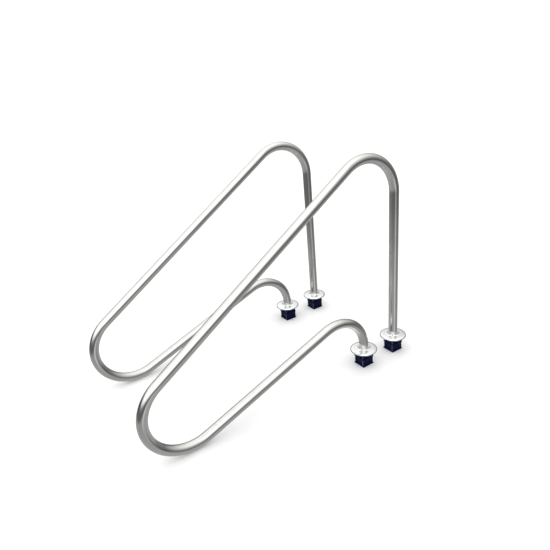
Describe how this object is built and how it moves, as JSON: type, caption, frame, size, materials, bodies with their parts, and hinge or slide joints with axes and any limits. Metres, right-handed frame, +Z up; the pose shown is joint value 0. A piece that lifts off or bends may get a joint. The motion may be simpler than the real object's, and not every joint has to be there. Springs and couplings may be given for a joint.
{
  "type": "pool handrail",
  "caption": "Pair of bent tube handrails for pool steps, each with a high back leg, a long sloping grip, a lower loop, cover plates and square deck anchors with wedge locks.",
  "frame": {"origin": "the deck's surface, midway between the four anchors", "axes": "+Z up, -X towards the water, +Y towards the right-hand rail of a person who faces the water"},
  "size_m": [1.3529, 0.75, 0.9895],
  "materials": {
    "tube_steel": "satin ground stainless tube",
    "inner_steel": "plain stainless",
    "polished_steel": "mirror polished stainless sheet",
    "fastener_steel": "plain stainless fasteners",
    "anchor_plastic": "moulded dark navy plastic",
    "lug_brass": "plain brass"
  },
  "bodies": {
    "anchors": {"left_rear_anchor": "anchor_plastic", "left_rear_bolt_washer": "fastener_steel", "left_rear_bonding_screw": "fastener_steel", "left_rear_bonding_lug": "lug_brass", "left_front_anchor": "anchor_plastic", "left_front_bolt_washer": "fastener_steel", "left_front_bonding_screw": "fastener_steel", "left_front_bonding_lug": "lug_brass", "right_rear_anchor": "anchor_plastic", "right_rear_bolt_washer": "fastener_steel", "right_rear_bonding_screw": "fastener_steel", "right_rear_bonding_lug": "lug_brass", "right_front_anchor": "anchor_plastic", "right_front_bolt_washer": "fastener_steel", "right_front_bonding_screw": "fastener_steel", "right_front_bonding_lug": "lug_brass"},
    "left_rail": {"left_handrail_tube": "tube_steel", "left_return_tube": "tube_steel", "left_joint_sleeve": "inner_steel"},
    "right_rail": {"right_handrail_tube": "tube_steel", "right_return_tube": "tube_steel", "right_joint_sleeve": "inner_steel"},
    "left_rear_escutcheon": {"left_rear_escutcheon": "polished_steel", "left_rear_grub_screw": "fastener_steel"},
    "left_rear_wedge_bolt": {"left_rear_wedge_bolt": "fastener_steel"},
    "left_rear_wedge": {"left_rear_wedge": "inner_steel"},
    "left_front_escutcheon": {"left_front_escutcheon": "polished_steel", "left_front_grub_screw": "fastener_steel"},
    "left_front_wedge_bolt": {"left_front_wedge_bolt": "fastener_steel"},
    "left_front_wedge": {"left_front_wedge": "inner_steel"},
    "right_rear_escutcheon": {"right_rear_escutcheon": "polished_steel", "right_rear_grub_screw": "fastener_steel"},
    "right_rear_wedge_bolt": {"right_rear_wedge_bolt": "fastener_steel"},
    "right_rear_wedge": {"right_rear_wedge": "inner_steel"},
    "right_front_escutcheon": {"right_front_escutcheon": "polished_steel", "right_front_grub_screw": "fastener_steel"},
    "right_front_wedge_bolt": {"right_front_wedge_bolt": "fastener_steel"},
    "right_front_wedge": {"right_front_wedge": "inner_steel"}
  },
  "joints": [
    {"name": "left_rail_lift", "type": "slide", "parent": "anchors", "child": "left_rail", "axis": [0, 0, 1], "range_m": [0, 0.08]},
    {"name": "right_rail_lift", "type": "slide", "parent": "anchors", "child": "right_rail", "axis": [0, 0, 1], "range_m": [0, 0.08]},
    {"name": "left_rear_cover_lift", "type": "slide", "parent": "left_rail", "child": "left_rear_escutcheon", "axis": [0, 0, 1], "range_m": [0, 0.15]},
    {"name": "left_rear_bolt_turn", "type": "hinge", "parent": "anchors", "child": "left_rear_wedge_bolt", "pos_m": [0.11694, -0.29256, -0.009], "axis": [0, 0, 1], "range_deg": [0, 1800]},
    {"name": "left_rear_wedge_drop", "type": "slide", "parent": "anchors", "child": "left_rear_wedge", "axis": [0, 0, -1], "range_m": [0, 0.004]},
    {"name": "left_front_cover_lift", "type": "slide", "parent": "left_rail", "child": "left_front_escutcheon", "axis": [0, 0, 1], "range_m": [0, 0.007]},
    {"name": "left_front_bolt_turn", "type": "hinge", "parent": "anchors", "child": "left_front_wedge_bolt", "pos_m": [-0.07805, -0.29256, -0.009], "axis": [0, 0, 1], "range_deg": [0, 1800]},
    {"name": "left_front_wedge_drop", "type": "slide", "parent": "anchors", "child": "left_front_wedge", "axis": [0, 0, -1], "range_m": [0, 0.004]},
    {"name": "right_rear_cover_lift", "type": "slide", "parent": "right_rail", "child": "right_rear_escutcheon", "axis": [0, 0, 1], "range_m": [0, 0.15]},
    {"name": "right_rear_bolt_turn", "type": "hinge", "parent": "anchors", "child": "right_rear_wedge_bolt", "pos_m": [0.11694, 0.29256, -0.009], "axis": [0, 0, 1], "range_deg": [0, 1800]},
    {"name": "right_rear_wedge_drop", "type": "slide", "parent": "anchors", "child": "right_rear_wedge", "axis": [0, 0, -1], "range_m": [0, 0.004]},
    {"name": "right_front_cover_lift", "type": "slide", "parent": "right_rail", "child": "right_front_escutcheon", "axis": [0, 0, 1], "range_m": [0, 0.007]},
    {"name": "right_front_bolt_turn", "type": "hinge", "parent": "anchors", "child": "right_front_wedge_bolt", "pos_m": [-0.07805, 0.29256, -0.009], "axis": [0, 0, 1], "range_deg": [0, 1800]},
    {"name": "right_front_wedge_drop", "type": "slide", "parent": "anchors", "child": "right_front_wedge", "axis": [0, 0, -1], "range_m": [0, 0.004]}
  ],
  "couplings": [
    {"joint": "left_rear_bolt_turn", "follows": "left_rear_wedge_drop", "rad_per_m": 7854},
    {"joint": "left_front_bolt_turn", "follows": "left_front_wedge_drop", "rad_per_m": 7854},
    {"joint": "right_rear_bolt_turn", "follows": "right_rear_wedge_drop", "rad_per_m": 7854},
    {"joint": "right_front_bolt_turn", "follows": "right_front_wedge_drop", "rad_per_m": 7854}
  ]
}
